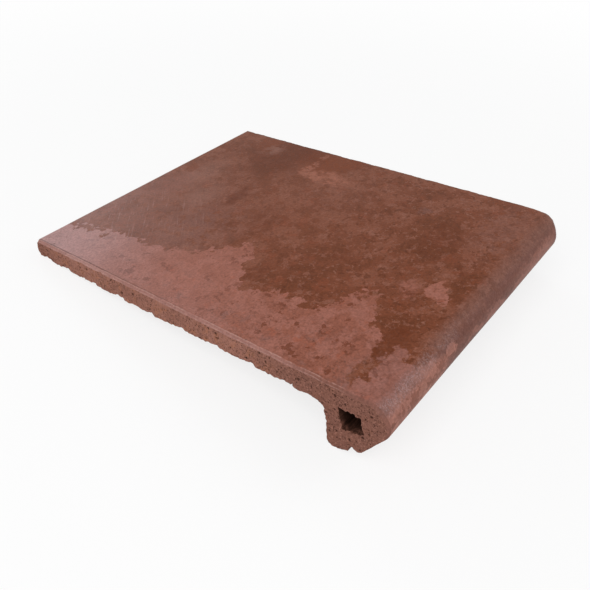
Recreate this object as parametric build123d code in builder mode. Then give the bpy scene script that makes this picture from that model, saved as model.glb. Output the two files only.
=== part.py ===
"""Extruded clay stair tread tile with a hollow, rounded nose along its front.

Millimetres. X runs along the nose, +Y goes to the back edge, +Z is up. The tread is stored as
it lies on a level floor: on the lip under its nose and on the bottom of its back edge. The
section is drawn flat first, x from the nose front to the back and y up from the walking face.
"""

from build123d import *
import math
import os

# Whole tread
tread_length = 250.0  # along the nose
tread_depth = 320.0  # nose front to back face
plate_thickness = 16.5

# Back edge, where the underside rises a little
back_lift = 3.0
back_lift_length = 70.0
back_top_bevel = 2.2
back_top_radius = 3.0
back_bottom_radius = 3.5

# Nose: three rounds under one taut outline, then the wall that faces the riser
nose_radius = 15.0  # the round that the foot meets
bead_radius = 4.0  # the front drip edge
bead_back = 20.5  # from the nose front to the middle of the bead
bead_rise = 9.6  # from the bottom of the lip up to the middle of the bead
lip_radius = 5.0  # the lowest edge, next to the riser
lip_back = 38.0
nose_height = 50.6  # walking face to the bottom of the lip
riser_wall_back = 46.0  # the wall behind the lip, where it reaches the walking face's level
inner_corner_radius = 6.0

# Drip groove between the bead and the lip
drip_groove_radius = 3.0
drip_groove_place = 0.3  # share of the way from the bead to the lip

# Core hole through the nose
core_roof = 15.5  # clay above the hole
core_front = 19.5  # clay in front of the hole, along its top
core_width = 14.0
core_height = 13.5
core_rake = 3.0  # how far the foot of the hole lies nearer the front
core_fall = 4.5  # how much lower the hole is at the back of its floor
core_corner_radius = 1.2

# Key grooves under the plate
key_pitch = 30.7
key_width = 14.0
key_depth = 2.0
key_start = 38.0  # deepest line of the first groove, from the back face

# Bevel round the cut ends of the worn face
end_bevel_length = 2.5  # along the nose
end_bevel_depth = 1.6  # down the cut end

# Middles of the nose rounds, and the top end of the line that the riser wall follows
nose_middle = (nose_radius, -nose_radius)
bead_middle = (bead_back, bead_rise - nose_height)
lip_middle = (lip_back, lip_radius - nose_height)
riser_top = (riser_wall_back, 0)


def taut_angle(start, start_radius, end, end_radius):
    """Direction in degrees of the straight that touches one round and then the next from below."""
    run_x = end[0] - start[0]
    run_y = end[1] - start[1]
    lean = math.asin((start_radius - end_radius) / math.hypot(run_x, run_y))
    return math.degrees(math.atan2(run_y, run_x) + lean)


chin_angle = taut_angle(nose_middle, nose_radius, bead_middle, bead_radius)
drip_angle = taut_angle(bead_middle, bead_radius, lip_middle, lip_radius)
wall_angle = taut_angle(lip_middle, lip_radius, riser_top, 0)

# Key grooves fill the plate from the back to the inner corner
key_room = tread_depth - key_start - riser_wall_back - inner_corner_radius - key_width
key_count = 1 + int(key_room // key_pitch)


def underside(x):
    """Level of the plate's underside, which is flat and then rises towards the back face."""
    return back_lift * max(0, 1 - (tread_depth - x) / back_lift_length) - plate_thickness


# Rest: the floor line touches the lip and the round of the back bottom edge
lift_angle = math.atan2(back_lift, back_lift_length)
back_rise = back_lift - back_bottom_radius * math.tan(lift_angle)
back_middle = (
    tread_depth - back_bottom_radius,
    back_rise - plate_thickness + back_bottom_radius / math.cos(lift_angle),
)
span_x = back_middle[0] - lip_middle[0]
span_y = back_middle[1] - lip_middle[1]
span = math.hypot(span_x, span_y)
rest_tilt = math.atan2(span_y, span_x) + math.asin((lip_radius - back_bottom_radius) / span)

# Outline of the nose: its three rounds, joined by straights that touch them
with BuildSketch() as nose:
    with BuildLine():
        nose_arc = CenterArc(nose_middle, nose_radius, 90, 180 + chin_angle)
        bead_arc = CenterArc(bead_middle, bead_radius, chin_angle - 90, drip_angle - chin_angle)
        lip_arc = CenterArc(lip_middle, lip_radius, drip_angle - 90, wall_angle - drip_angle)
        Line(nose_arc @ 1, bead_arc @ 0)
        drip_line = Line(bead_arc @ 1, lip_arc @ 0)
        Line(lip_arc @ 1, riser_top)
        Line(riser_top, nose_arc @ 0)
    make_face()

# Whole section
with BuildSketch() as section:
    add(nose.sketch)
    with Locations((nose_radius, -plate_thickness)):
        Rectangle(tread_depth - nose_radius, plate_thickness, align=(Align.MIN, Align.MIN))
    inner_corner = section.vertices().sort_by_distance((riser_wall_back, -plate_thickness))[0]
    fillet(inner_corner, inner_corner_radius)
    with BuildLine():
        Polyline(
            (tread_depth - back_lift_length, -plate_thickness),
            (tread_depth, -plate_thickness),
            (tread_depth, back_lift - plate_thickness),
            close=True,
        )
    make_face(mode=Mode.SUBTRACT)
    back_low = section.vertices().sort_by_distance((tread_depth, back_lift - plate_thickness))[0]
    fillet(back_low, back_bottom_radius)
    back_high = section.vertices().sort_by_distance((tread_depth, 0))[0]
    chamfer(back_high, back_top_bevel)
    back_shoulder = section.vertices().sort_by_distance((tread_depth, -back_top_bevel))[0]
    fillet(back_shoulder, back_top_radius)
    with Locations(drip_line @ drip_groove_place):
        Circle(drip_groove_radius, mode=Mode.SUBTRACT)
    for index in range(key_count):
        key_x = tread_depth - key_start - index * key_pitch
        steep_x = key_x - 0.15 * key_width
        gentle_x = key_x + 0.85 * key_width
        with BuildLine():
            Polyline(
                (steep_x, -plate_thickness - 1),
                (steep_x, underside(steep_x)),
                (key_x, underside(key_x) + key_depth),
                (gentle_x, underside(gentle_x)),
                (gentle_x, -plate_thickness - 1),
                close=True,
            )
        make_face(mode=Mode.SUBTRACT)

# Core hole, with its floor running beside the underside of the nose
with BuildSketch() as core:
    with BuildLine():
        Polyline(
            (core_front, -core_roof),
            (core_front + core_width, -core_roof),
            (core_front + core_width - core_rake, -core_roof - core_height - core_fall / 2),
            (core_front - core_rake, -core_roof - core_height + core_fall / 2),
            close=True,
        )
    make_face()
    fillet(core.vertices(), core_corner_radius)

# Section turned to its rest and set on the floor, middle of its depth over the origin
way_back = (0, math.cos(rest_tilt), -math.sin(rest_tilt))
tilted = Plane(origin=(0, 0, 0), x_dir=way_back, z_dir=(1, 0, 0))
rested = tilted.from_local_coords(section.sketch).bounding_box()
section_plane = Plane(
    origin=(-tread_length / 2, -(rested.min.Y + rested.max.Y) / 2, -rested.min.Z),
    x_dir=way_back,
    z_dir=(1, 0, 0),
)

with BuildPart() as stair_tread:
    with BuildSketch(section_plane):
        add(section.sketch)
        add(core.sketch, mode=Mode.SUBTRACT)
    extrude(amount=tread_length)
    # The bevel follows the walking face and the front of the nose
    worn_way = section_plane.y_dir * 0.6 - section_plane.x_dir * 0.8
    for end_face in stair_tread.faces().filter_by(Axis.X).sort_by(Axis.X):
        rim = [
            edge
            for edge in end_face.outer_wire().edges()
            for face in stair_tread.faces()
            if abs(face.normal_at().X) < 0.5
            and face.normal_at().dot(worn_way) > 0.3
            and face.distance_to(edge.center()) < 0.001
            and face.distance_to(edge @ 0) < 0.001
            and face.distance_to(edge @ 1) < 0.001
        ]
        chamfer(rim, end_bevel_depth, end_bevel_length, reference=end_face)

stair_tread.part.label = "stair_tread"
os.makedirs("parts", exist_ok=True)
export_step(stair_tread.part, "parts/stair_tread.step")
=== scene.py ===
"""A fired clay stair tread lying on a pale floor, seen from the left of its nose.

Lengths are millimetres in the tread's own section: x along the nose, u from the front of the nose
towards the back edge, v up from the walking face. The tread rests on the lip under its nose and on
its back edge, so the section is turned by a small tilt in the row frame, which is in metres.
"""

import math
from functools import reduce

import bpy
import numpy as np
from mathutils import Matrix, Vector


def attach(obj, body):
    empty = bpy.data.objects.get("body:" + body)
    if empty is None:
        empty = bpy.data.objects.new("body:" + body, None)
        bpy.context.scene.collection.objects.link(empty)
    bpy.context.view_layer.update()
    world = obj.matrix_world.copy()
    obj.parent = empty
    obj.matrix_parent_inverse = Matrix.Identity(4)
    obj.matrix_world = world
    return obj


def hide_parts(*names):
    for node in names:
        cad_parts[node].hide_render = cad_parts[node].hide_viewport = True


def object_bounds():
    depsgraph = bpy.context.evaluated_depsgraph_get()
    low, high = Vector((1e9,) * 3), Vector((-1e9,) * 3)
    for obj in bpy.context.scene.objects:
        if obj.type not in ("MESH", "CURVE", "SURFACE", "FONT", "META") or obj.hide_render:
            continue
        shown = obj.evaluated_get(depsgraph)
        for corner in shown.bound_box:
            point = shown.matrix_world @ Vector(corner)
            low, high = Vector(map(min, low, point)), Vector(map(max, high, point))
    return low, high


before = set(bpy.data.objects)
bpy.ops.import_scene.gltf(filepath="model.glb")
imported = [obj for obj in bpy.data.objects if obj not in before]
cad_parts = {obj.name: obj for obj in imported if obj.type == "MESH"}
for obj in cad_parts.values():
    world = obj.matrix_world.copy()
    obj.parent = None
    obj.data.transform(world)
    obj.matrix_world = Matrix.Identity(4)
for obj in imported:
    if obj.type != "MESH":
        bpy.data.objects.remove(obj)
cad_low, cad_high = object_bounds()

# Section of the tread, as in the part's source
HALF_LENGTH = 125.0
DEPTH = 320.0
PLATE = 16.5
BACK_LIFT, BACK_LIFT_LENGTH = 3.0, 70.0
BACK_TOP_BEVEL, BACK_TOP_RADIUS, BACK_BOTTOM_RADIUS = 2.2, 3.0, 3.5
NOSE_RADIUS, BEAD_RADIUS, LIP_RADIUS = 15.0, 4.0, 5.0
NOSE_MIDDLE = np.array((15.0, -15.0))
BEAD_MIDDLE = np.array((20.5, -41.0))
LIP_MIDDLE = np.array((38.0, -45.6))
RISER_TOP = np.array((46.0, 0.0))
INNER_CORNER_RADIUS = 6.0
DRIP_GROOVE_RADIUS, DRIP_GROOVE_PLACE = 3.0, 0.3
KEY_PITCH, KEY_WIDTH, KEY_DEPTH, KEY_START, KEY_COUNT = 30.7, 14.0, 2.0, 38.0, 8
KEY_STEEP, KEY_GENTLE = 0.15 * KEY_WIDTH, 0.85 * KEY_WIDTH
BEVEL_LENGTH, BEVEL_DEPTH = 2.5, 1.6
CORE_CORNERS = np.array(((19.5, -15.5), (33.5, -15.5), (30.5, -31.25), (16.5, -26.75)))
CORE_MIDDLE = CORE_CORNERS.mean(0)
CORE_SQUARENESS = 22

# Grid of the mesh: the plate's grid meets the ring of faces round the core hole where u is JOIN
JOIN = 52.0
CELL = 0.65
PLATE_ROWS, RING_ROWS = 24, 24
BACK_ROUND, BACK_ROUND_COLUMNS = 4.0, 10
SHARP_ANGLE = 38.0
STEPS_PER_METRE = 1e7  # vertices on the same step are one
ENDS = ((-1, 0), (1, -1))  # side and station of the near and the far cut end
SKIN_SLOT, CLAY_SLOT, CORE_SLOT = 0, 1, 2  # order of the finishes on the mesh

# The fired skin goes round the nose as far as the drip groove, and stops short of the back face
SKIN_END = (25.6, -44.2)
SKIN_BACK = DEPTH - 0.4
SKIN_SOFTNESS = 7  # points over which the skin's edge is softened

# Relief of the cut ends: size, depth and level of drag marks, grit and torn places
DRAG_SIZE, DRAG_DEPTH, DRAG_LEVEL = 11.0, 0.16, 1.3
GRIT_SIZE, GRIT_DEPTH, GRIT_LEVEL = 2.6, 0.07, 1.2
TEAR_SIZE, TEAR_DEPTH, TEAR_LEVEL = 6.5, 0.5, -1.2
DRAG_SQUASH = (1.0, 0.55)  # drag marks are longer up and down
DEEPEST_RELIEF = 1.4
RELIEF_FADE = 6.0  # length over which the relief fades into the skin and the hole

# Pores of the cut ends: seed, counts, and the middle, spread and limits of their sizes
PORE_SEED = 5
PLATE_PORES, RING_PORES = 110, 60
PORE_LOG_SIZE, PORE_SPREAD = -0.72, 0.35
SMALLEST_PORE, LARGEST_PORE, DEEPEST_PORE = 0.3, 1.1, 0.9
PORE_SQUASH = (1.0, 0.85)  # pores are a little taller than wide
PORE_SHADE_GAIN = 1.25

# Edges of the cut ends, as layers of grain along the loop: depth, size, step of the seed
BEVEL_WAVER = ((0.3, 26.0, 0), (0.12, 5.0, 1))
EDGE_LUMPS = ((0.15, 13.0, 3), (0.14, 4.2, 2))
EDGE_CHIPS = ((0.2, 6.0, 4), (0.08, 2.6, 5))
CHIP_LEVEL, LEAST_CHIP, DEEPEST_CHIP = 0.4, 0.05, 1.5
LUMP_LEVEL, LARGEST_LUMP = -0.45, 0.9
# The far end's rubbed nose corner: middle and width in u and in v, then what the bevel gains
RUBBED_U, RUBBED_V = (2.0, 13.0), (-12.0, 17.0)
RUBBED_LENGTH, RUBBED_DEPTH = 10.0, 4.2
# The near end's chin, under the nose, where the bevel is less deep
CHIN_SAVED, CHIN_BACK = 0.95, 24.0
CHIN_DEPTHS = (18.0, 24.0)
# The plate's underside and the foot of the nose, as the lengths over which they begin and end
UNDER_BEGINS, UNDER_ENDS = (46.0, 60.0), (298.0, 304.0)
FOOT_DEPTHS = (40.0, 46.0)
NOSE_ENDS = (10.0, 24.0)
LEAST_BEVEL = 0.3
BEVEL_FADE, BEVEL_HOLLOW = 6.0, 0.6
CHIP_FADE = 2.2
FOOT_LEVEL = -44.0  # below this nothing stands out of the section
# Each swell of the near end's lower edge: u, v, size, how far out
SWELLS = (
    (300.0, -14.0, 6.0, 1.2),
    (190.0, -17.0, 6.0, 1.3),
    (171.0, -17.0, 6.0, 0.8),
    (67.0, -17.0, 6.0, 1.4),
    (49.0, -19.0, 4.5, 1.2),
    (35.0, -49.5, 6.0, 0.4),
)

# Core hole: drag lines all along it, and at its mouths torn grain, crumbled places and a flare
HOLE_DRAG_SIZE, HOLE_DRAG_DEPTH = 1.8, 0.16
MOUTH_TEAR_SIZE, MOUTH_TEAR_DEPTH, MOUTH_TEAR_FADE = 3.0, 0.3, 3.0
CRUMBLE_SIZE, CRUMBLE_LEVEL = 5.5, -0.3
NEAR_CRUMBLE, MIDDLE_CRUMBLE, FAR_CRUMBLE = 0.7, 0.5, 0.3
FLARE, FLARE_FADE = 0.5, 0.8

# Waves of the extrusion: length and depth, and how far inside the section they lie in their depths
SLOW_WAVE, SLOW_DEPTH = 70.0, 0.06
ROUGH_WAVE, ROUGH_DEPTH = 9.0, 0.12
ROUGH_STRETCH = (0.25, 1, 1)  # rough waves are longer along the nose
WAVES_INSIDE = 2.2

# The tilt at which the lip and the back edge both touch the floor
lift_angle = math.atan2(BACK_LIFT, BACK_LIFT_LENGTH)
back_round_rise = BACK_BOTTOM_RADIUS * (1 / math.cos(lift_angle) - math.tan(lift_angle))
BACK_MIDDLE = np.array((DEPTH - BACK_BOTTOM_RADIUS, BACK_LIFT - PLATE + back_round_rise))
rest_span = BACK_MIDDLE - LIP_MIDDLE
rest_lean = math.asin((LIP_RADIUS - BACK_BOTTOM_RADIUS) / np.hypot(*rest_span))
TILT = math.atan2(rest_span[1], rest_span[0]) + rest_lean
SIN, COS = math.sin(TILT), math.cos(TILT)
TOP_ROUND_U = DEPTH - BACK_TOP_RADIUS
TOP_ROUND_V = BACK_TOP_RADIUS - BACK_TOP_BEVEL - BACK_TOP_RADIUS * math.sqrt(2)
ORIGIN_Y = 1000 * cad_high.y - TOP_ROUND_U * COS - TOP_ROUND_V * SIN - BACK_TOP_RADIUS
ORIGIN_Z = LIP_RADIUS + LIP_MIDDLE[0] * SIN - LIP_MIDDLE[1] * COS


def in_row_frame(x, u, v):
    """Points of the section, carried to x, in the row frame in metres: a turn by the tilt, then a shift."""
    return np.stack((x, ORIGIN_Y + u * COS + v * SIN, ORIGIN_Z - u * SIN + v * COS), -1) / 1000


def grain(points, size, seed, waves=36):
    """Smooth random relief of spread 1: a sum of cosine waves near one length, in random directions."""
    points = np.asarray(points, float)
    points = points[..., None] if points.ndim == 1 else points
    draw = np.random.default_rng(seed)
    way = draw.normal(size=(points.shape[-1], waves))
    way *= 2 * math.pi / (size * draw.uniform(0.65, 1.8, waves) * np.linalg.norm(way, axis=0))
    return np.cos(points @ way + draw.uniform(0, 2 * math.pi, waves)).sum(-1) * math.sqrt(2 / waves)


def arc(middle, radius, start, end, count=60):
    """Points on a circle between two angles in degrees."""
    turn = np.radians(np.linspace(start, end, count))
    return middle + radius * np.stack((np.cos(turn), np.sin(turn)), -1)


def taut_angle(start, start_radius, end, end_radius):
    """Direction in degrees of the straight that touches one round and then the next from below."""
    run = end - start
    lean = math.asin((start_radius - end_radius) / np.hypot(*run))
    return math.degrees(math.atan2(run[1], run[0]) + lean)


def even_points(line, count):
    """A polyline walked at even steps of its own length."""
    way = np.concatenate(((0,), np.cumsum(np.linalg.norm(np.diff(line, axis=0), axis=1))))
    steps = np.linspace(0, way[-1], count)
    return np.stack((np.interp(steps, way, line[:, 0]), np.interp(steps, way, line[:, 1])), -1)


def nose_outline():
    """Outline from the walking face round the nose to the plate's underside.

    The nose's round, bead and lip are arcs, joined by straights that touch them. The drip groove is
    an arc on the straight before the lip, and a fillet joins the riser wall to the underside.
    """
    chin = taut_angle(NOSE_MIDDLE, NOSE_RADIUS, BEAD_MIDDLE, BEAD_RADIUS)
    drip = taut_angle(BEAD_MIDDLE, BEAD_RADIUS, LIP_MIDDLE, LIP_RADIUS)
    wall = taut_angle(LIP_MIDDLE, LIP_RADIUS, RISER_TOP, 0)
    nose = arc(NOSE_MIDDLE, NOSE_RADIUS, 90, 270 + chin)
    bead = arc(BEAD_MIDDLE, BEAD_RADIUS, chin - 90, drip - 90, 20)
    lip = arc(LIP_MIDDLE, LIP_RADIUS, drip - 90, wall - 90, 30)
    groove_middle = bead[-1] + DRIP_GROOVE_PLACE * (lip[0] - bead[-1])
    groove = arc(groove_middle, DRIP_GROOVE_RADIUS, drip + 180, drip, 24)
    out = np.array((math.sin(math.radians(wall)), -math.cos(math.radians(wall))))
    corner_v = -PLATE - INNER_CORNER_RADIUS
    corner_u = lip[-1, 0] + (INNER_CORNER_RADIUS - (corner_v - lip[-1, 1]) * out[1]) / out[0]
    corner = arc(np.array((corner_u, corner_v)), INNER_CORNER_RADIUS, wall + 90, 90, 24)
    return np.concatenate((((JOIN, 0.0),), nose, bead, groove, lip, corner, ((JOIN, -PLATE),)))


def plate_top(u):
    """Level of the walking face: flat, then a bevel and a round at the back edge."""
    round_u = u - TOP_ROUND_U
    rounded = TOP_ROUND_V + np.sqrt(np.clip(BACK_TOP_RADIUS**2 - round_u**2, 0, None))
    bevelled = np.minimum(0, DEPTH - BACK_TOP_BEVEL - u)
    return np.where(round_u > BACK_TOP_RADIUS * math.sqrt(0.5), rounded, bevelled)


def plate_underside(u):
    """Level of the underside: flat, then rising, with saw-tooth key grooves and a round at the back."""
    level = BACK_LIFT * np.clip(1 - (DEPTH - u) / BACK_LIFT_LENGTH, 0, None) - PLATE
    deepest = DEPTH - KEY_START - KEY_PITCH * np.arange(KEY_COUNT)
    away = u[:, None] - deepest
    tooth = np.minimum(1 + away / KEY_STEEP, 1 - away / KEY_GENTLE)
    level = level + KEY_DEPTH * np.clip(tooth, 0, None).sum(1)
    round_u = u - BACK_MIDDLE[0]
    rounded = BACK_MIDDLE[1] - np.sqrt(np.clip(BACK_BOTTOM_RADIUS**2 - round_u**2, 0, None))
    return np.where(round_u > BACK_BOTTOM_RADIUS * math.sin(lift_angle), rounded, level)


def core_rim(turn):
    """Rim of the core hole at the given angles about its middle.

    It is the nearest of the hole's four sides. The sides are joined by a high power, which softens
    the corners.
    """
    side = np.roll(CORE_CORNERS, -1, 0) - CORE_CORNERS
    out = np.stack((-side[:, 1], side[:, 0]), -1) / np.linalg.norm(side, axis=1)[:, None]
    reach = ((CORE_CORNERS - CORE_MIDDLE) * out).sum(1)
    way = np.stack((np.cos(turn), np.sin(turn)), -1)
    facing = way[:, :1] * out[:, 0] + way[:, 1:] * out[:, 1]
    nearness = np.clip(facing / reach, 1e-6, None) ** CORE_SQUARENESS
    radius = nearness.sum(1) ** (-1 / CORE_SQUARENESS)
    return CORE_MIDDLE + radius[:, None] * way


def outward(loop):
    """Unit normals of a closed anticlockwise loop: the chord between neighbours, turned a quarter."""
    way = np.roll(loop, -1, 0) - np.roll(loop, 1, 0)
    normal = np.stack((way[:, 1], -way[:, 0]), -1)
    return normal / np.linalg.norm(normal, axis=1)[:, None]


def bump_at(value, middle, width):
    """A smooth hump of height 1: e to the minus square of the distance in widths."""
    return np.exp(-(((value - middle) / width) ** 2))


def slope(value, low, high):
    """0 below low and 1 above high, straight between."""
    return np.clip((value - low) / (high - low), 0, 1)


# The loop of the section: walking face to the front, nose, underside to the back, back face
round_start = DEPTH - BACK_ROUND
even_columns = np.linspace(JOIN, round_start, int((round_start - JOIN) / CELL))
back_turn = np.linspace(0, math.pi / 2, BACK_ROUND_COLUMNS)[1:]
columns = np.concatenate((even_columns, round_start + BACK_ROUND * np.sin(back_turn)))
nose_line = nose_outline()
nose_length = np.linalg.norm(np.diff(nose_line, axis=0), axis=1).sum()
nose_points = even_points(nose_line, int(nose_length / CELL))[1:-1]
top_points = np.stack((columns, plate_top(columns)), -1)[::-1]
bottom_points = np.stack((columns, plate_underside(columns)), -1)
row_share = np.linspace(0, 1, PLATE_ROWS + 1)[:, None]
back_points = (bottom_points[-1] + row_share * (top_points[0] - bottom_points[-1]))[1:-1]
join_points = (bottom_points[0] + row_share * (top_points[-1] - bottom_points[0]))[1:-1]
loop = np.concatenate((top_points, nose_points, bottom_points, back_points))
loop_count = len(loop)
nose_start = len(columns)
bottom_start = nose_start + len(nose_points)
back_start = bottom_start + len(columns)
normals = outward(loop)
loop_way = np.cumsum(np.linalg.norm(loop - np.roll(loop, 1, 0), axis=1))

# Where the loop is fired skin, with the edge of the skin softened, and where it is nose
skin_end = nose_start + int(np.argmin(np.linalg.norm(nose_points - SKIN_END, axis=1)))
worn = (np.arange(loop_count) < skin_end) & (loop[:, 0] < SKIN_BACK)
worn_padded = np.pad(worn.astype(float), SKIN_SOFTNESS // 2, mode="wrap")
worn_share = np.convolve(worn_padded, np.ones(SKIN_SOFTNESS) / SKIN_SOFTNESS, "valid")[:, None]
nose_share = 1 - slope(loop[:, :1], *NOSE_ENDS)

# Stations along the nose, close together at the cut ends
end_steps = (0, 0.45, 0.95, 1.5, 2.05, 2.5, 2.9, 3.6, 5.0, 7.5, 11.0, 17.0, 26.0, 38.0, 54.0, 72.0, 96.0)
station_s = np.concatenate((end_steps, (HALF_LENGTH,), end_steps[::-1]))
station_side = np.concatenate((-np.ones(len(end_steps)), (0,), np.ones(len(end_steps))))
station_count = len(station_s)


def cut_end_relief(points, side):
    """How far the cut end lies inside its plane: the sum of drag marks, grit and torn places.

    Each is grain raised to its level, and the sum never goes outside the plane.
    """
    seed = 40 if side < 0 else 60
    drag = DRAG_DEPTH * (DRAG_LEVEL + grain(points * DRAG_SQUASH, DRAG_SIZE, seed))
    grit = GRIT_DEPTH * (GRIT_LEVEL + grain(points, GRIT_SIZE, seed + 1))
    torn = TEAR_DEPTH * np.clip(TEAR_LEVEL + grain(points, TEAR_SIZE, seed + 2), 0, None)
    return np.clip(drag + grit + torn, 0, DEEPEST_RELIEF)


def grain_along(seed, layers):
    """The sum of layers of grain along the loop, each given as its depth, size and step of the seed."""
    return sum(depth * grain(loop_way, size, seed + step) for depth, size, step in layers)


def section_at_end(side):
    """Edge of the section at one cut end: length and depth of the worn face's bevel, and chips elsewhere.

    All three waver by grain along the loop. The far end's bevel grows where its nose corner is rubbed
    round, and the near end's shrinks under the chin. Chips go in, but under the plate they go in and
    out by turns, and swells push the near end's lower edge out.
    """
    near, far = side < 0, side > 0
    seed = 11 if near else 21
    u, v = loop.T
    waver = grain_along(seed, BEVEL_WAVER)
    rubbed = bump_at(u, *RUBBED_U) * bump_at(v, *RUBBED_V) * far
    chin = slope(-v, *CHIN_DEPTHS) * (u < CHIN_BACK) * near
    bevel_length = BEVEL_LENGTH + 0.55 * waver + RUBBED_LENGTH * rubbed
    bevel_depth = BEVEL_DEPTH + 0.25 * waver + RUBBED_DEPTH * rubbed - CHIN_SAVED * chin
    under = slope(u, *UNDER_BEGINS) * (1 - slope(u, *UNDER_ENDS))
    foot = slope(-v, *FOOT_DEPTHS)
    lumps = grain_along(seed, EDGE_LUMPS)
    chips = CHIP_LEVEL + grain_along(seed, EDGE_CHIPS) + 0.5 * np.clip(lumps, 0, None)
    chips = np.clip(chips, LEAST_CHIP, DEEPEST_CHIP) * (1 - under) * (1 - 0.8 * foot)
    chips += np.clip(1.1 * lumps + LUMP_LEVEL, -LARGEST_LUMP, LARGEST_LUMP) * under
    for swell_u, swell_v, size, out in SWELLS:
        chips -= out * bump_at(u, swell_u, size) * bump_at(v, swell_v, size) * near
    return bevel_length[:, None], np.clip(bevel_depth, LEAST_BEVEL, None)[:, None], chips[:, None]


def carried_loop():
    """The loop carried along x: beveled and chipped towards the ends, with slow waves between.

    The bevel falls straight over its length, hollow round the nose, and the chips fade by e to the
    minus distance. Where the bevel is longer, the stations behind it are moved along with it.
    """
    x = np.zeros((loop_count, station_count))
    inset = np.zeros((loop_count, station_count))
    for side, _ in ENDS:
        at = station_side == side
        s = station_s[at][None, :]
        bevel_length, bevel_depth, chips = section_at_end(side)
        fading = np.exp(-np.clip(s - BEVEL_LENGTH, 0, None) / BEVEL_FADE)
        stretch = 1 + (bevel_length / BEVEL_LENGTH - 1) * fading * worn_share
        x[:, at] = side * (HALF_LENGTH - s * stretch)
        bevelled = bevel_depth * np.clip(1 - s / BEVEL_LENGTH, 0, 1) ** (1 + BEVEL_HOLLOW * nose_share)
        chipped = chips * np.exp(-s / CHIP_FADE)
        inset[:, at] = worn_share * bevelled + (1 - worn_share) * chipped
    where = np.stack(np.broadcast_arrays(x, loop[:, :1], loop[:, 1:]), -1)
    slow = SLOW_DEPTH * (WAVES_INSIDE + grain(where, SLOW_WAVE, 3)) * worn_share
    rough = ROUGH_DEPTH * (WAVES_INSIDE + grain(where * ROUGH_STRETCH, ROUGH_WAVE, 4)) * (1 - worn_share)
    inset += np.clip(slow + rough, 0, None)
    inset = np.where(loop[:, 1:] < FOOT_LEVEL, np.clip(inset, 0, None), inset)
    return x, loop[:, None, :] - normals[:, None, :] * inset[..., None]


def carried_hole(rim):
    """The hole's rim carried along x, and widened away from the hole's middle.

    Fine grain widens it all along. Torn and crumbled grain and a flare do so at its mouths, and fade
    by e to the minus distance from the end.
    """
    out = rim - CORE_MIDDLE
    out /= np.linalg.norm(out, axis=1)[:, None]
    dragged = HOLE_DRAG_DEPTH * grain(rim, HOLE_DRAG_SIZE, 90)[:, None]
    hole = np.empty((len(rim), station_count, 2))
    for side, crumble in ((-1, NEAR_CRUMBLE), (0, MIDDLE_CRUMBLE), (1, FAR_CRUMBLE)):
        at = station_side == side
        s = station_s[at][None, :]
        crumbled = np.clip(CRUMBLE_LEVEL + grain(rim, CRUMBLE_SIZE, 80 + side), 0, None)
        torn = MOUTH_TEAR_DEPTH * grain(rim, MOUTH_TEAR_SIZE, 70 + side) + crumble * crumbled
        flare = FLARE * np.exp(-s / FLARE_FADE)
        widen = torn[:, None] * np.exp(-s / MOUTH_TEAR_FADE) + flare + dragged
        hole[:, at] = rim[:, None] + out[:, None] * widen[..., None]
    return hole


def pored_patch(patch, closed, side, draw):
    """Places x of a patch of the cut end with pores sunk in its relief, and how far into a pore each is.

    A pore is e to the minus square of the distance in pore sizes, and its depth is its size. Pores
    keep off the rims of the patch, where it meets its neighbours.
    """
    shape = patch.shape[:2]
    points = patch.reshape(-1, 2)
    inside = np.zeros(shape, bool)
    inside[(slice(None) if closed else slice(1, -1)), 1:-1] = True
    inside = inside.ravel()
    seats = draw.choice(np.flatnonzero(inside), RING_PORES if closed else PLATE_PORES, replace=False)
    size = draw.lognormal(PORE_LOG_SIZE, PORE_SPREAD, len(seats))
    size = np.clip(size, SMALLEST_PORE, LARGEST_PORE)
    away = np.linalg.norm((points[:, None] - points[seats]) * PORE_SQUASH, axis=-1) / size
    hollow = np.exp(-(away**2))
    sunk = (hollow * np.clip(size, 0, DEEPEST_PORE)).max(1) * inside
    pit = np.clip(hollow.max(1) * PORE_SHADE_GAIN, 0, 1) * inside
    x = side * (HALF_LENGTH - (cut_end_relief(points, side) + sunk))
    return x.reshape(shape), pit.reshape(shape)


def face_grid(numbers, closed, flip):
    """Quads of a grid of vertex numbers, its first direction closed on itself if asked."""
    grid = np.concatenate((numbers, numbers[:1])) if closed else numbers
    quads = np.stack((grid[:-1, :-1], grid[1:, :-1], grid[1:, 1:], grid[:-1, 1:]), -1).reshape(-1, 4)
    return quads[:, ::-1] if flip else quads


class Shell:
    """Patches of one closed skin: their points, faces, finish slots and pore shares."""

    def __init__(self):
        self.points, self.faces, self.slots, self.pits = [], [], [], []
        self.total = 0

    def put(self, x, section, pit, slot, closed, flip):
        """Adds a grid of points of the section at their places x, with its quads."""
        quads = face_grid(self.total + np.arange(x.size).reshape(x.shape), closed, flip)
        self.points.append(in_row_frame(x, section[..., 0], section[..., 1]).reshape(-1, 3))
        self.faces.append(quads)
        self.slots.append(np.broadcast_to(slot, len(quads)))
        self.pits.append(np.broadcast_to(pit, x.shape).ravel())
        self.total += x.size

    def mesh(self, name):
        """All patches as one mesh, in which vertices that meet are one."""
        lists = (self.points, self.faces, self.slots, self.pits)
        points, faces, slots, pits = (np.concatenate(parts) for parts in lists)
        steps = np.round(points * STEPS_PER_METRE)
        _, first, where = np.unique(steps, axis=0, return_index=True, return_inverse=True)
        mesh = bpy.data.meshes.new(name)
        mesh.from_pydata(points[first], [], where.ravel()[faces])
        pit = mesh.attributes.new("pit", "FLOAT", "POINT")
        pit.data.foreach_set("value", pits[first].astype(np.float32))
        mesh.polygons.foreach_set("material_index", slots.astype(np.int32))
        mesh.shade_smooth()
        mesh.set_sharp_from_angle(angle=math.radians(SHARP_ANGLE))
        return mesh


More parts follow.
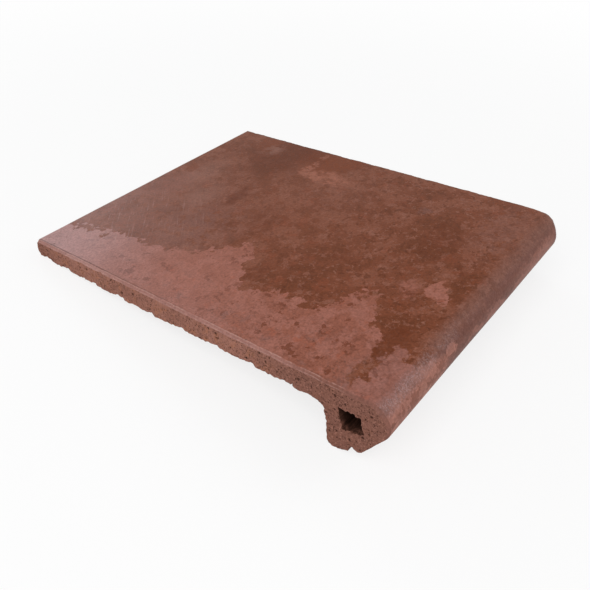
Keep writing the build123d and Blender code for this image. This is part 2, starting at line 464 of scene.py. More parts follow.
def make_tread():
    """The whole tread as one closed skin: carried loop and hole, and at each end a plate grid and a ring.

    The plate grid goes straight from the underside to the walking face, and the ring straight from
    the outline of the nose to the rim of the hole.
    """
    x, section = carried_loop()
    ring_way = np.concatenate((loop[nose_start - 1 : bottom_start + 1], join_points)) - CORE_MIDDLE
    hole = carried_hole(core_rim(np.arctan2(ring_way[:, 1], ring_way[:, 0])))
    hole_x = np.tile(station_side * (HALF_LENGTH - station_s), (len(hole), 1))
    fade = np.clip(1 - station_s / RELIEF_FADE, 0, 1)
    for side, end in ENDS:
        at = station_side == side
        x[:, at] -= side * cut_end_relief(section[:, end], side)[:, None] * fade[at]
        hole_x[:, at] -= side * cut_end_relief(hole[:, end], side)[:, None] * fade[at]

    shell = Shell()
    skin_slot = np.repeat(np.where(worn & np.roll(worn, -1), SKIN_SLOT, CLAY_SLOT), station_count - 1)
    shell.put(x, section, 0.0, skin_slot, closed=True, flip=False)
    shell.put(hole_x, hole, 0.0, CORE_SLOT, closed=True, flip=True)
    draw = np.random.default_rng(PORE_SEED)
    step = np.linspace(0, 1, RING_ROWS + 1)[None, :, None]
    for side, end in ENDS:
        edge = section[:, end]
        low = edge[bottom_start:back_start]
        high = edge[:nose_start][::-1]
        plate = low[:, None] + row_share.T[..., None] * (high - low)[:, None]
        plate[-1, 1:-1] = edge[back_start:]
        outer = np.concatenate((edge[nose_start - 1 : bottom_start + 1], plate[0, 1:-1]))
        ring = outer[:, None] + step * (hole[:, end] - outer)[:, None]
        for patch, closed in ((plate, False), (ring, True)):
            patch_x, pit = pored_patch(patch, closed, side, draw)
            shell.put(patch_x, patch, pit, CLAY_SLOT, closed, flip=side < 0)
    return shell.mesh("stair_tread_clay")


class Tone:
    """One socket of a finish. Arithmetic on it adds Math nodes."""

    def __init__(self, finish, socket):
        self.finish = finish
        self.socket = socket

    def _math(self, operation, *values):
        """A Math node of the given values."""
        return self.finish.node("Math", {"operation": operation}, dict(enumerate(values)))

    def __add__(self, other):
        return self._math("ADD", self, other)

    def __sub__(self, other):
        return self._math("SUBTRACT", self, other)

    def __rsub__(self, other):
        return self._math("SUBTRACT", other, self)

    def __mul__(self, other):
        return self._math("MULTIPLY", self, other)

    def __truediv__(self, other):
        return self._math("DIVIDE", self, other)

    def __pow__(self, other):
        return self._math("POWER", self, other)

    def __neg__(self):
        return self * -1

    def __abs__(self):
        return self._math("ABSOLUTE", self)

    __radd__ = __add__
    __rmul__ = __mul__

    def most(self, other):
        """The larger of two values."""
        return self._math("MAXIMUM", self, other)

    def rise(self, low, high):
        """0 below low and 1 above high, eased between."""
        sockets = {"Value": self, "From Min": low, "From Max": high}
        return self.finish.node("MapRange", {"interpolation_type": "SMOOTHSTEP"}, sockets)

    def fall(self, low, high):
        """1 below low and 0 above high, eased between."""
        return 1 - self.rise(low, high)

    def sibling(self, output):
        """Another output of the same node."""
        return Tone(self.finish, self.socket.node.outputs[output])


class Finish:
    """A material or world made of nodes, with the tread's section measures at hand."""

    def __init__(self, owner):
        self.owner = owner
        owner.use_nodes = True
        self.tree = owner.node_tree
        self.tree.nodes.clear()

    def node(self, kind, settings, sockets, output=0):
        """Any node: its kind, its settings, then the values or links of its sockets."""
        made = self.tree.nodes.new("ShaderNode" + kind)
        for key, value in settings.items():
            if key == "stops":
                ramp = made.color_ramp.elements
                while len(ramp) < len(value):
                    ramp.new(1.0)
                for stop, (position, level) in zip(ramp, value):
                    stop.position = position
                    stop.color = (level, level, level, 1)
            else:
                setattr(made, key, value)
        for key, value in sockets.items():
            if isinstance(value, Tone):
                self.tree.links.new(value.socket, made.inputs[key])
            else:
                made.inputs[key].default_value = value
        return Tone(self, made.outputs[output]) if made.outputs else None

    def measures(self):
        """The section measures as one vector: Object coordinates turned back by the tilt, in millimetres."""
        shift = (0.0, -(ORIGIN_Y * COS - ORIGIN_Z * SIN), -(ORIGIN_Y * SIN + ORIGIN_Z * COS))
        sockets = {
            "Vector": self.node("TexCoord", {}, {}, "Object"),
            "Location": shift,
            "Rotation": (TILT, 0.0, 0.0),
            "Scale": (1000.0, 1000.0, 1000.0),
        }
        return self.node("Mapping", {"vector_type": "POINT"}, sockets)

    def split(self, vector):
        """The three parts of a vector or colour."""
        x = self.node("SeparateXYZ", {}, {0: vector})
        return x, x.sibling(1), x.sibling(2)

    def noise(self, vector, size, shift, detail, roughness, output=0):
        """Cloudy noise whose largest clouds are about size millimetres. Each shift gives other clouds."""
        sockets = {0: vector, 1: (shift, 1.7 * shift, 0.6 * shift)}
        moved = self.node("VectorMath", {"operation": "ADD"}, sockets)
        sockets = {"Vector": moved, "Scale": 1.0 / size, "Detail": detail, "Roughness": roughness}
        return self.node("TexNoise", {"noise_dimensions": "3D"}, sockets, output)

    def cover(self, base, *layers):
        """Colour base under layers of where, share and tone, each of which covers what is below it."""
        for where, share, tone in layers:
            under, over = (colour if isinstance(colour, Tone) else (*colour, 1) for colour in (base, tone))
            base = self.node("Mix", {"data_type": "RGBA"}, {0: where * share, 6: under, 7: over}, 2)
        return base

    def surface(self, base, roughness, height, distance, specular):
        """Closes the finish: colour, roughness and relief into one Principled surface."""
        bumped = self.node("Bump", {}, {"Strength": 1.0, "Distance": distance, "Height": height})
        sockets = {
            "Base Color": base,
            "Roughness": roughness,
            "Normal": bumped,
            "Specular IOR Level": specular,
        }
        shader = self.node("BsdfPrincipled", {}, sockets)
        self.node("OutputMaterial", {}, {"Surface": shader})
        return self.owner


# Tones of the brown skin
CHESTNUT = (0.212, 0.071, 0.039)
BARK = (0.177, 0.052, 0.024)
DARK_BARK = (0.147, 0.042, 0.017)
WARM_BROWN = (0.249, 0.095, 0.061)
RED_BROWN = (0.212, 0.055, 0.024)
SCORCH = (0.120, 0.032, 0.012)
PALE_BROWN = (0.262, 0.110, 0.073)
MAUVE = (0.226, 0.098, 0.074)
ROSE = (0.232, 0.088, 0.062)
RUST = (0.178, 0.044, 0.015)
UMBER = (0.128, 0.030, 0.009)
EMBER = (0.315, 0.114, 0.071)
DUST = (0.262, 0.120, 0.088)
SOOT = (0.108, 0.021, 0.004)
SLATE = (0.190, 0.112, 0.102)
CHALK = (0.330, 0.190, 0.165)

# Tones of the salmon band
SALMON = (0.278, 0.098, 0.064)
PINK_SALMON = (0.324, 0.125, 0.090)
TAN_FLECK = (0.228, 0.076, 0.046)
BROWN_FLECK = (0.165, 0.047, 0.024)
ORANGE_FLECK = (0.340, 0.100, 0.058)
DULL_FLECK = (0.168, 0.060, 0.038)
PALE_SALMON = (0.350, 0.142, 0.108)
BRIGHT_SALMON = (0.365, 0.145, 0.105)
ASHEN_SALMON = (0.262, 0.128, 0.112)
BROWN_STAIN = (0.165, 0.052, 0.030)

# Tones of the film, grains and scratches on both
# pale pink film: partly real bloom, partly painted sheen
PINK_FILM_AND_SHEEN = (0.490, 0.315, 0.315)
BLUE_GREY = (0.195, 0.108, 0.098)
DARK_GRAIN = (0.085, 0.040, 0.027)
PALE_SCUFF = (0.34, 0.175, 0.145)
PALE_SCRATCH = (0.40, 0.245, 0.22)

# Tones of the nose
# the grey veil and the worn grey are wear with painted sheen on it
GREY_VEIL_AND_SHEEN = (0.205, 0.106, 0.087)
NOSE_BROWN = (0.166, 0.069, 0.053)
# lighter tone low on the nose front: painted light from below
NOSE_PAINTED_UNDERLIGHT = (0.215, 0.098, 0.078)
NOSE_DARK = (0.120, 0.048, 0.036)
NOSE_PALE = (0.270, 0.125, 0.098)
NOSE_PINK = (0.372, 0.164, 0.125)
PINK_BROWN = (0.220, 0.086, 0.060)
WORN_GREY_AND_SHEEN = (0.238, 0.146, 0.138)
# painted highlight: whitish glints on the nose shoulder
PAINTED_GLINT = (0.400, 0.285, 0.285)

# Tones of the bevels
BEVEL_BROWN = (0.208, 0.090, 0.068)
BEVEL_PINK = (0.335, 0.164, 0.138)
BEVEL_PALE = (0.410, 0.230, 0.205)
# thin painted shade in the crease between walking face and bevel
PAINTED_CREASE_SHADE = (0.095, 0.044, 0.034)
# thin painted highlight along the bevel's edges
PAINTED_EDGE_HIGHLIGHT = (0.46, 0.28, 0.24)

# Tones of the raw clay and of the core hole
TAN_CLAY = (0.292, 0.128, 0.092)
PALE_CLAY = (0.335, 0.150, 0.110)
ORANGE_CLAY = (0.365, 0.148, 0.082)
DULL_CLAY = (0.215, 0.092, 0.068)
SMOKED_CLAY = (0.202, 0.086, 0.062)
DARK_GRIT = (0.120, 0.048, 0.032)
PALE_GRIT = (0.44, 0.21, 0.155)
DARK_SPECK = (0.075, 0.030, 0.020)
PORE_SHADE = (0.042, 0.015, 0.009)
# the hole's wall: painted near black as the shade inside the hole
HOLE_SHADE = (0.020, 0.008, 0.005)
HOLE_LINE = (0.042, 0.017, 0.011)
HOLE_CRUMB = (0.170, 0.070, 0.048)

# Plan of the skin: how far a place is from the left end and from the back edge, without their bevels
PLAN_LEFT = 122.5
PLAN_BACK = 317.6
PUSH, PUSH_SIZE = 24.0, 24.0
FRAY, FRAY_SIZE = 12.0, 5.0

# Salmon band: distance from the back edge, and how far the band reaches from the left end there
BAND_LENGTH, BAND_WIDTH = 350.0, 100.0
BAND_REACHES = (
    (0, 28),
    (12, 30),
    (24, 34),
    (36, 37),
    (55, 42),
    (70, 41),
    (85, 48),
    (105, 48),
    (120, 56),
    (131, 69),
    (140, 82),
    (149, 81),
    (155, 61),
    (168, 53),
    (174, 38),
    (184, 46),
    (200, 50),
    (228, 50),
    (237, 67),
    (244, 80),
    (256, 81),
    (262, 66),
    (268, 55),
    (285, 52),
    (306, 38),
    (330, 34),
)

# Ovals: left, back, half sizes across and along, softness of the edge
FRAYED_GAP = (20.0, 289.0, 16.0, 4.0, 0.25)
BROWN_IN_BAND = ((48.0, 288.0, 17.0, 6.0, 0.2), (60.0, 296.0, 8.0, 9.0, 0.2))
SALMON_ISLAND = (39.0, 297.5, 9.0, 5.0, 0.15)
PINK_LOBE = (36.0, 140.0, 45.0, 42.0, 0.8)
PINK_BY_NOSE = (111.0, 286.0, 14.0, 8.0, 0.4)
ASHEN_CORNER = (24.0, 306.0, 40.0, 22.0, 0.6)

# Blotches: ovals, each with its share
LOOSE_SALMON = (
    (101.0, 271.0, 9.0, 7.0, 0.4, 0.7),
    (110.0, 286.0, 12.0, 5.5, 0.1, 1.0),
    (104.0, 292.0, 8.0, 4.5, 0.12, 1.0),
)
MIXED_SALMON = ((24.0, 272.0, 26.0, 34.0, 0.8, 1.0), (30.0, 214.0, 12.0, 22.0, 0.4, 1.0))
DARK_PLACES = (
    (219.0, 68.0, 38.0, 26.0, 0.5, 1.0),
    (84.0, 204.0, 36.0, 34.0, 0.4, 0.65),
    (166.0, 253.0, 42.0, 20.0, 0.6, 1.0),
    (128.0, 298.0, 26.0, 8.0, 0.6, 1.0),
    (70.0, 274.0, 14.0, 10.0, 0.5, 1.0),
)
PINK_ON_NOSE = (
    (13.0, 329.0, 54.0, 18.0, 0.12, 1.0),
    (70.0, 323.0, 5.0, 4.5, 0.2, 1.0),
    (104.0, 333.0, 12.0, 3.0, 0.3, 0.6),
    (131.0, 333.0, 14.0, 4.0, 0.3, 0.5),
    (172.0, 335.0, 14.0, 3.0, 0.3, 0.6),
    (206.0, 331.0, 30.0, 9.0, 0.4, 0.65),
)

# Marks of the fire on the brown: blotches, each with its tone and the mottles that break it up
FIRE_MARKS = (
    (216.0, 72.0, 40.0, 34.0, 0.6, 0.5, SOOT, "whole"),
    (236.0, 132.0, 14.0, 14.0, 0.5, 0.5, SOOT, "middling"),
    (205.0, 22.0, 24.0, 11.0, 0.6, 0.3, SOOT, "middling"),
    (72.0, 62.0, 24.0, 34.0, 0.7, 0.22, SOOT, "middling"),
    (96.0, 92.0, 16.0, 12.0, 0.6, 0.45, SOOT, "middling"),
    (120.0, 130.0, 22.0, 14.0, 0.5, 0.25, SOOT, "middling"),
    (48.0, 290.0, 20.0, 9.0, 0.3, 0.75, UMBER, "whole"),
    (163.0, 258.0, 28.0, 14.0, 0.6, 0.3, SOOT, "middling"),
    (70.0, 40.0, 75.0, 62.0, 0.8, 0.34, MAUVE, "middling"),
    (124.0, 18.0, 30.0, 14.0, 0.6, 0.5, ROSE, "whole"),
    (152.0, 28.0, 24.0, 16.0, 0.7, 0.45, DUST, "whole"),
    (122.0, 60.0, 18.0, 13.0, 0.7, 0.45, DUST, "whole"),
    (78.0, 96.0, 34.0, 26.0, 0.7, 0.4, MAUVE, "middling"),
    (179.0, 152.0, 24.0, 30.0, 0.6, 0.16, MAUVE, "middling"),
    (202.0, 290.0, 38.0, 17.0, 0.6, 0.4, MAUVE, "middling"),
    (228.0, 112.0, 24.0, 26.0, 0.35, 0.85, RUST, "whole"),
    (153.0, 10.0, 8.0, 5.0, 0.3, 0.7, RUST, "whole"),
    (232.0, 40.0, 14.0, 10.0, 0.5, 0.75, RUST, "whole"),
    (238.0, 92.0, 20.0, 14.0, 0.5, 0.4, SOOT, "whole"),
    (203.0, 127.0, 10.0, 25.0, 0.7, 0.3, EMBER, "whole"),
    (203.0, 127.0, 9.5, 24.0, 0.3, 0.85, EMBER, "middling"),
    (212.0, 103.0, 12.0, 5.0, 0.3, 0.75, EMBER, "fine"),
    (236.0, 101.0, 6.0, 3.0, 0.3, 0.5, EMBER, "fine"),
    (226.0, 52.0, 10.0, 8.5, 0.8, 0.6, DUST, "middling"),
    (139.0, 85.0, 12.0, 6.0, 0.45, 0.6, SOOT, "whole"),
    (129.0, 88.0, 8.0, 5.0, 0.45, 0.55, SOOT, "whole"),
    (96.0, 109.0, 11.0, 9.0, 0.3, 0.5, UMBER, "fine"),
    (57.0, 172.0, 12.0, 6.0, 0.3, 0.5, UMBER, "middling"),
    (113.0, 208.0, 9.0, 7.0, 0.3, 0.5, UMBER, "middling"),
    (176.0, 250.0, 14.0, 5.0, 0.3, 0.5, UMBER, "middling"),
    (194.0, 226.0, 6.0, 4.0, 0.6, 0.3, SLATE, "whole"),
    (61.0, 17.0, 1.8, 9.0, 0.6, 0.3, CHALK, "fine"),
)


class SkinFinish(Finish):
    """The fired skin's finish, with its plan measures, ragged blotches and crisp mottles."""

    def __init__(self, owner):
        super().__init__(owner)
        self.place = self.measures()
        self.x, self.u, v = self.split(self.place)
        self.below = -v
        self.left = self.x + PLAN_LEFT
        self.back = PLAN_BACK - self.u - v
        pushed = self.split(self.noise(self.place, PUSH_SIZE, 40.0, 5.0, 0.6, "Color"))
        frayed = self.split(self.noise(self.place, FRAY_SIZE, 60.0, 4.0, 0.6, "Color"))
        self.ragged_left = self.left + (pushed[0] - 0.5) * PUSH + (frayed[0] - 0.5) * FRAY
        self.ragged_back = self.back + (pushed[1] - 0.5) * PUSH + (frayed[1] - 0.5) * FRAY
        self.grit = self.noise(self.place, 1.5, 11.0, 2.0, 0.6)
        self.speck = self.noise(self.place, 2.2, 400.0, 3.0, 0.7)
        self.middling = self.mottle(8.0, 0.40, 0.52, 230.0)

    def patch(self, middle_left, middle_back, half_left, half_back, soft):
        """An oval blotch with a ragged edge: 1 well inside, 0 outside."""
        across = (self.ragged_left - middle_left) / half_left
        along = (self.ragged_back - middle_back) / half_back
        away = (across * across + along * along) ** 0.5
        return away.fall(1 - soft, 1 + soft)

    def blotches(self, rows):
        """The strongest of several blotches, each given as its oval and its share."""
        return reduce(Tone.most, (self.patch(*oval) * share for *oval, share in rows))

    def mottle(self, size, low, high, shift, detail=6.0):
        """Crisp-edged mottles of one size: cloudy noise cut between two levels."""
        return self.noise(self.place, size, shift, detail, 0.66).rise(low, high)


def salmon_band(skin):
    """Where the salmon shows: as far as the band reaches, with ragged islands, gaps and loose flakes."""
    stops = tuple((along / BAND_LENGTH, reach / BAND_WIDTH) for along, reach in BAND_REACHES)
    width = skin.node("ValToRGB", {"stops": stops}, {0: skin.ragged_back / BAND_LENGTH})
    islands = (skin.noise(skin.place, 8.0, 80.0, 5.0, 0.62) - 0.5) * 38.0
    band = (width * BAND_WIDTH - skin.ragged_left + islands).rise(-0.8, 0.8)
    band = band.most(skin.blotches(LOOSE_SALMON))
    frayed_gap = skin.patch(*FRAYED_GAP) * skin.mottle(6.0, 0.36, 0.44, 95.0)
    band = band * (1 - frayed_gap)
    for oval in BROWN_IN_BAND:
        band = band * (1 - skin.patch(*oval))
    return band.most(skin.patch(*SALMON_ISLAND) * 0.9)


def brown_ground(skin, clumps):
    """The brown: crisp mottles of darker, redder and paler tones, then the marks of the fire."""
    lively = 0.6 + 0.4 * skin.back.rise(150.0, 210.0)
    mottled = skin.cover(
        CHESTNUT,
        (clumps.rise(0.485, 0.51), 1.0, BARK),
        (clumps.rise(0.585, 0.61), 0.95, DARK_BARK),
        (skin.mottle(9.0, 0.565, 0.585, 150.0) * lively, 0.7, WARM_BROWN),
        (skin.mottle(13.0, 0.58, 0.61, 190.0), 0.5, RED_BROWN),
        (skin.mottle(5.0, 0.575, 0.60, 170.0, 4.0) * lively, 0.75, SCORCH),
        (skin.mottle(4.5, 0.60, 0.63, 180.0, 4.0) * lively, 0.65, PALE_BROWN),
    )
    mottles = {
        "fine": skin.mottle(4.5, 0.40, 0.54, 210.0),
        "middling": skin.middling,
        "whole": skin.mottle(14.0, 0.28, 0.42, 250.0),
    }
    marks = (
        (skin.patch(*oval) * mottles[broken], share, tone) for *oval, share, tone, broken in FIRE_MARKS
    )
    return skin.cover(mottled, *marks)


def salmon_ground(skin):
    """The salmon: pinker and more orange by turns, with brown flecks and grey grains in it."""
    mixed = skin.blotches(MIXED_SALMON) * skin.mottle(7.0, 0.54, 0.58, 800.0)
    return skin.cover(
        SALMON,
        (skin.mottle(16.0, 0.46, 0.53, 300.0), 1.0, PINK_SALMON),
        (skin.mottle(6.0, 0.55, 0.59, 330.0), 0.42, TAN_FLECK),
        (skin.mottle(11.0, 0.585, 0.61, 350.0), 0.9, BROWN_FLECK),
        (skin.mottle(9.0, 0.61, 0.64, 370.0), 0.6, ORANGE_FLECK),
        (skin.mottle(3.5, 0.59, 0.64, 390.0, 4.0), 0.4, DULL_FLECK),
        (skin.patch(*PINK_LOBE), 0.4, PALE_SALMON),
        (skin.patch(*PINK_BY_NOSE), 0.4, BRIGHT_SALMON),
        (skin.patch(*ASHEN_CORNER), 0.35, ASHEN_SALMON),
        (mixed, 0.5, BROWN_STAIN),
    )


def pale_film_and_sheen(skin, band):
    """Where a pale pink film lies, partly real bloom and partly painted sheen: thickest at the left of the
    back edge, thin along both edges there.
    """
    left, back = skin.left, skin.back
    # where the film is thickest it holds painted sheen as well as bloom
    corner = left.fall(-10.0, 130.0) * back.fall(10.0, 130.0) * (0.13 + 0.87 * band)
    along_end = left.fall(0.0, 30.0) * back.rise(60.0, 120.0) * back.fall(130.0, 260.0) * 0.15
    along_back = back.fall(4.0, 20.0) * left.rise(20.0, 40.0) * left.fall(60.0, 150.0) * 0.14
    return corner + along_end + along_back


def scratches(skin, crowd):
    """Where scratches lie, near the left of the back edge: noise drawn out along one turned axis."""
    sockets = {"Vector": skin.place, "Rotation": (0.0, 0.0, 0.73), "Scale": (24.0, 1.3, 4.0)}
    drawn_out = skin.node("Mapping", {"vector_type": "TEXTURE"}, sockets)
    lines = skin.noise(drawn_out, 1.0, 520.0, 2.0, 0.5).rise(0.59, 0.67)
    return lines * skin.left.fall(60.0, 150.0) * skin.back.fall(20.0, 140.0) * (0.3 + 0.7 * crowd)


def worn_nose(skin, base, front):
    """The nose: browner in front and lighter low down by painted light from below, with pink patches, and
    worn to a pale grainy strip on its shoulder that carries painted sheen and painted glints.
    """
    veil_and_sheen = skin.u.fall(9.0, 17.0) * skin.left.rise(40.0, 70.0)
    pink = skin.blotches(PINK_ON_NOSE) * skin.below.rise(1.0, 4.0)
    shoulder = skin.u.fall(6.0, 12.5) * skin.below.fall(4.0, 9.0)
    fading = 1 - skin.left.rise(10.0, 120.0) * 0.9
    rubbed = shoulder * fading * skin.mottle(12.0, 0.34, 0.52, 620.0)
    painted_glint = skin.noise(skin.place, 0.9, 640.0, 2.0, 0.6).rise(0.50, 0.62)
    return skin.cover(
        base,
        # grey veil over the shoulder: partly wear, partly painted sheen
        (veil_and_sheen, 0.4, GREY_VEIL_AND_SHEEN),
        (front * (0.5 + 0.35 * skin.middling), 1.0, NOSE_BROWN),
        # lighter low on the nose front: painted light from below
        (skin.below.rise(6.0, 12.0), 0.5, NOSE_PAINTED_UNDERLIGHT),
        (front * skin.mottle(4.0, 0.56, 0.61, 680.0), 0.45, NOSE_DARK),
        (front * skin.mottle(6.0, 0.57, 0.62, 690.0), 0.45, NOSE_PALE),
        (pink * (0.65 + 0.35 * skin.middling), 1.0, NOSE_PINK),
        (pink * skin.mottle(8.0, 0.53, 0.57, 660.0), 0.7, PINK_BROWN),
        # pale strip on the shoulder: rubbed wear with painted sheen on it
        (rubbed, 0.42, WORN_GREY_AND_SHEEN),
        # painted glints of highlight in the shoulder strip
        (rubbed * painted_glint, 0.5, PAINTED_GLINT),
    )


def pale_bevels(skin, base, to_end, ripple, bevel):
    """The bevels at the cut ends: pink, browner round the nose, with a thin line of painted shade in the
    crease and thin painted highlight lines along them.
    """
    palest = skin.u.rise(215.0, 250.0) * skin.u.fall(270.0, 300.0)
    pale = skin.cover(BEVEL_BROWN, (skin.u.rise(35.0, 95.0), 1.0, BEVEL_PINK), (palest, 0.6, BEVEL_PALE))
    # painted shade in the crease, mostly towards the back
    crease_shade = abs(to_end + ripple * 0.5 - 3.1).fall(0.2, 0.7) * (1 - skin.back.rise(60.0, 190.0) * 0.85)
    # painted highlight lines along the bevel's upper and lower edges
    upper = abs(to_end + ripple * 0.5 - 2.4).fall(0.1, 0.45)
    lower = abs(to_end + ripple * 0.4 - 0.8).fall(0.1, 0.35)
    edge_highlight = upper.most(lower * 0.7) * skin.u.rise(22.0, 40.0) * skin.mottle(18.0, 0.38, 0.52, 720.0)
    return skin.cover(base, (bevel, 0.85, pale), (crease_shade, 0.6, PAINTED_CREASE_SHADE), (edge_highlight, 0.55, PAINTED_EDGE_HIGHLIGHT))


def flamed_skin():
    """The fired skin: mottled brown, flamed with a ragged salmon band along the left end, pale at its bevels.

    A blotch is an oval in plan that cloudy noise pushes about, so its edge is ragged. A mottle is
    cloudy noise cut at a level. Each tone covers the one before to the share that these give.
    """
    skin = SkinFinish(bpy.data.materials.new("flamed_skin"))
    band = salmon_band(skin)
    clumps = skin.noise(skin.place, 20.0, 5.0, 8.0, 0.7) + skin.blotches(DARK_PLACES) * 0.14
    near_end = skin.left.fall(4.0, 50.0)
    crowd = skin.mottle(22.0, 0.40, 0.62, 420.0, 3.0)
    specks = skin.speck.rise(0.57, 0.64) * (0.25 + 0.6 * near_end) * (0.35 + 0.65 * crowd)
    scuffs = skin.mottle(4.0, 0.60, 0.66, 500.0) * (0.15 + 0.55 * near_end)
    base = skin.cover(
        brown_ground(skin, clumps),
        (band, 1.0, salmon_ground(skin)),
        # pale pink film with painted sheen at the left of the back edge
        (pale_film_and_sheen(skin, band), 0.65, PINK_FILM_AND_SHEEN),
        (near_end * skin.mottle(9.0, 0.5, 0.6, 440.0) * crowd, 0.4, BLUE_GREY),
        (specks, 0.75, DARK_GRAIN),
        (scuffs, 0.5, PALE_SCUFF),
        (scratches(skin, crowd), 0.5, PALE_SCRATCH),
    )
    front = skin.below.rise(2.0, 6.0)
    base = worn_nose(skin, base, front)
    to_end = HALF_LENGTH - abs(skin.x)
    ripple = (skin.noise(skin.place, 7.0, 700.0, 4.0, 0.6) - 0.5) * 1.2
    bevel = (to_end + ripple).fall(1.9, 2.7)
    base = pale_bevels(skin, base, to_end, ripple, bevel)
    tone = 1 + (skin.grit - 0.5) * 0.9 + (skin.speck - 0.5) * 0.4
    base = skin.node("VectorMath", {"operation": "SCALE"}, {0: base, "Scale": tone})
    roughness = 0.4 + 0.25 * (skin.grit - 0.5) + 0.05 * band + 0.1 * front + 0.2 * bevel
    height = skin.grit * 0.6 + skin.speck * 0.5 + clumps * 0.5 - specks * 0.5
    return skin.surface(base, roughness, height, distance=0.0002, specular=0.065)


def raw_clay():
    """Cut and unfaced clay: tan to brown, gritty, with dark pores where the cut opened them.

    The small pores are some of the cells of a fine honeycomb, each with a hole of its own size. The
    large ones are those of the mesh.
    """
    clay = Finish(bpy.data.materials.new("raw_clay"))
    place = clay.measures()
    _, u, _ = clay.split(place)
    pit = clay.node("Attribute", {"attribute_name": "pit"}, {}, "Fac")
    clouds = clay.noise(place, 20.0, 31.0, 5.0, 0.65)
    grit = clay.noise(place, 1.4, 71.0, 3.0, 0.65)
    patchy = clay.noise(place, 6.0, 91.0, 6.0, 0.68)
    smoked = (u.fall(45.0, 125.0) * 0.85).most(u.rise(280.0, 318.0) * 0.6)
    sockets = {"Vector": place, "Scale": 1 / 1.1, "Randomness": 1.0}
    cells = clay.node("TexVoronoi", {"feature": "F1"}, sockets)
    lot, size, _ = clay.split(cells.sibling("Color"))
    pores = lot.rise(0.54, 0.56) * (cells / (0.16 + 0.26 * size)).fall(0.75, 1.1)
    gathered = clay.noise(place, 9.0, 151.0, 2.0, 0.5).rise(0.4, 0.6)
    specks = clay.noise(place, 0.9, 131.0, 2.0, 0.6).rise(0.60, 0.68) * gathered
    base = clay.cover(
        TAN_CLAY,
        (clouds.rise(0.38, 0.62), 1.0, PALE_CLAY),
        (patchy.rise(0.52, 0.62), 0.6, ORANGE_CLAY),
        ((1 - patchy).rise(0.53, 0.64), 0.38, DULL_CLAY),
        (smoked, 1.0, SMOKED_CLAY),
        (grit.rise(0.56, 0.66), 0.65, DARK_GRIT),
        ((1 - grit).rise(0.55, 0.66), 0.5, PALE_GRIT),
        (specks, 0.65, DARK_SPECK),
        ((pit.rise(0.25, 0.8) * 0.85).most(pores * 0.75), 1.0, PORE_SHADE),
    )
    roughness = 0.86 + 0.1 * (grit - 0.5)
    height = grit * 0.6 + patchy * 0.9 - pores * 0.8
    return clay.surface(base, roughness, height, distance=0.0004, specular=0.1)


def shaded_core_clay():
    """Wall of the core hole: painted near black as the shade inside the hole, in lines drawn along the nose,
    with paler crumbs in its mouth.
    """
    core = Finish(bpy.data.materials.new("shaded_core_clay"))
    place = core.measures()
    x, _, v = core.split(place)
    drawn = core.node("VectorMath", {"operation": "MULTIPLY"}, {0: place, 1: (0.06, 1.0, 1.0)})
    lines = core.noise(drawn, 1.6, 17.0, 4.0, 0.6)
    mouth = (abs(x) + (core.noise(place, 5.0, 27.0, 4.0, 0.6) - 0.5) * 14.0).rise(118.0, 124.0)
    crumbs = core.noise(place, 2.4, 47.0, 4.0, 0.65).rise(0.42, 0.56) * v.fall(-28.0, -22.0)
    base = core.cover(
        # near-black painted shade of the hole
        HOLE_SHADE,
        (lines.rise(0.35, 0.7), 1.0, HOLE_LINE),
        (mouth * (0.15 + 0.6 * crumbs), 1.0, HOLE_CRUMB),
    )
    roughness = 0.9 + 0.05 * (lines - 0.5)
    return core.surface(base, roughness, lines, distance=0.0005, specular=0.05)


def seen_share(finish):
    """1 for rays that show a thing to the eye, straight, in gloss or through glass, and 0 for others."""
    path = finish.node("LightPath", {}, {}, "Is Camera Ray")
    return path.most(path.sibling("Is Glossy Ray")).most(path.sibling("Is Transmission Ray"))


# Stage, in metres and watts. Each softbox: name, place, what it faces, size, power, colour
FLOOR_HALF = 4.0
FLOOR_GREY = (0.95, 0.95, 0.95, 1)
WHITE = (1, 1, 1, 1)
ROOM_STRENGTH = 0.42
SOFTBOXES = (
    ("soft_back", (0.74, 1.82, 0.75), (0, 0, 0), 0.7, 6.0, (0.92, 0.95, 1.0)),
    ("soft_right", (1.25, -1.15, 1.2), (0, -0.1, 0), 1.1, 6.0, (1, 1, 1)),
    ("soft_left", (-1.3, -0.3, 1.6), (0, 0, 0), 1.6, 24.5, (1, 1, 1)),
)

# Camera in the section's measures: where it stands, and where the picture's right and down point
EYE = (-342.3, -124.4, 262.0)
PICTURE_RIGHT = (0.6157, -0.7862, -0.0534)
PICTURE_DOWN = (-0.4923, -0.3308, -0.8052)
FOCAL_PIXELS, PICTURE_PIXELS = 672.12, 590
SENSOR_WIDTH = 36.0
CLIP_START = 0.01


def floor_finish():
    """A pale floor: matt, and white to the eye by a share that grows further off, so a soft shadow shows."""
    floor = Finish(bpy.data.materials.new("pale_floor"))
    place = floor.node("TexCoord", {}, {}, "Object")
    away = floor.node("VectorMath", {"operation": "LENGTH"}, {0: place}, "Value")
    matt = floor.node("BsdfDiffuse", {}, {"Color": FLOOR_GREY})
    white = floor.node("Emission", {}, {"Color": WHITE, "Strength": 1.0})
    share = seen_share(floor) * (0.77 + 0.23 * away.rise(0.2, 0.9))
    shader = floor.node("MixShader", {}, {0: share, 1: matt, 2: white})
    floor.node("OutputMaterial", {}, {"Surface": shader})
    return floor.owner


def add_tread():
    """The clay piece in place of its solid."""
    tread = bpy.data.objects.new("stair_tread_clay", make_tread())
    bpy.context.scene.collection.objects.link(tread)
    for finish in (flamed_skin(), raw_clay(), shaded_core_clay()):
        tread.data.materials.append(finish)
    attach(tread, "root")
    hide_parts("stair_tread")


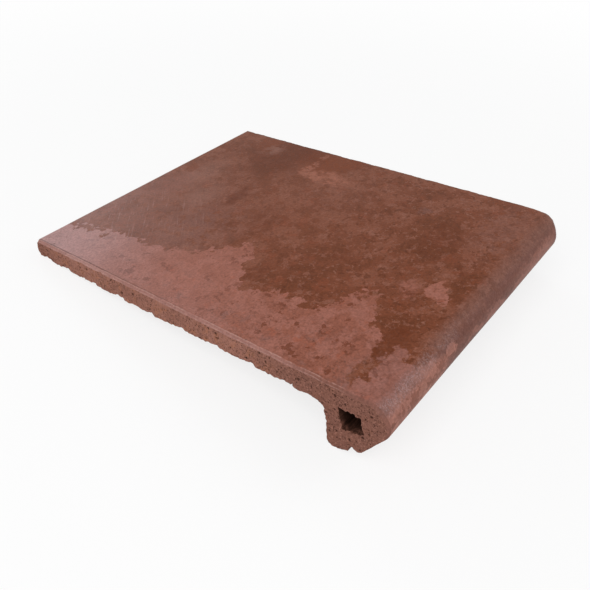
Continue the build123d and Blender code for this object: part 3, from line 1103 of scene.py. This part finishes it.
def add_floor():
    """A wide pale floor at the height the tread rests on."""
    half = FLOOR_HALF
    corners = ((-half, -half, 0), (half, -half, 0), (half, half, 0), (-half, half, 0))
    mesh = bpy.data.meshes.new("floor")
    mesh.from_pydata(corners, [], ((0, 1, 2, 3),))
    mesh.materials.append(floor_finish())
    floor = bpy.data.objects.new("floor", mesh)
    bpy.context.scene.collection.objects.link(floor)


def add_softbox(name, place, aim, size, power, colour):
    """A square softbox at place, facing aim."""
    lamp = bpy.data.lights.new(name, "AREA")
    lamp.shape = "SQUARE"
    lamp.size = size
    lamp.energy = power
    lamp.color = colour
    box = bpy.data.objects.new(name, lamp)
    box.location = place
    box.rotation_mode = "QUATERNION"
    box.rotation_quaternion = (Vector(aim) - Vector(place)).to_track_quat("-Z", "Y")
    bpy.context.scene.collection.objects.link(box)


def add_room():
    """A white room: white to the eye and in gloss, and dimmer as a light."""
    room = Finish(bpy.data.worlds.new("white_room"))
    dim = room.node("Background", {}, {"Color": WHITE, "Strength": ROOM_STRENGTH})
    white = room.node("Background", {}, {"Color": WHITE, "Strength": 1.0})
    shader = room.node("MixShader", {}, {0: seen_share(room), 1: dim, 2: white})
    room.node("OutputWorld", {}, {"Surface": shader})
    bpy.context.scene.world = room.owner


def add_camera():
    """The camera where the photograph was taken: placed and turned in the section's measures, then tilted."""
    right, down = np.array(PICTURE_RIGHT), np.array(PICTURE_DOWN)
    right /= np.linalg.norm(right)
    down -= right * (down @ right)
    down /= np.linalg.norm(down)
    ahead = np.cross(right, down)
    turn = np.array(((1, 0, 0), (0, COS, SIN), (0, -SIN, COS)))
    axes = np.stack((turn @ right, turn @ -down, turn @ -ahead), -1)
    lens = bpy.data.cameras.new("camera")
    lens.sensor_width = SENSOR_WIDTH
    lens.lens = FOCAL_PIXELS / PICTURE_PIXELS * SENSOR_WIDTH
    lens.clip_start = CLIP_START
    camera = bpy.data.objects.new("camera", lens)
    camera.matrix_world = Matrix.Translation(Vector(in_row_frame(*EYE))) @ Matrix(axes.tolist()).to_4x4()
    bpy.context.scene.collection.objects.link(camera)
    bpy.context.scene.camera = camera


add_tread()
add_floor()
for softbox in SOFTBOXES:
    add_softbox(*softbox)
add_room()
add_camera()
bpy.context.scene.view_settings.view_transform = "Standard"
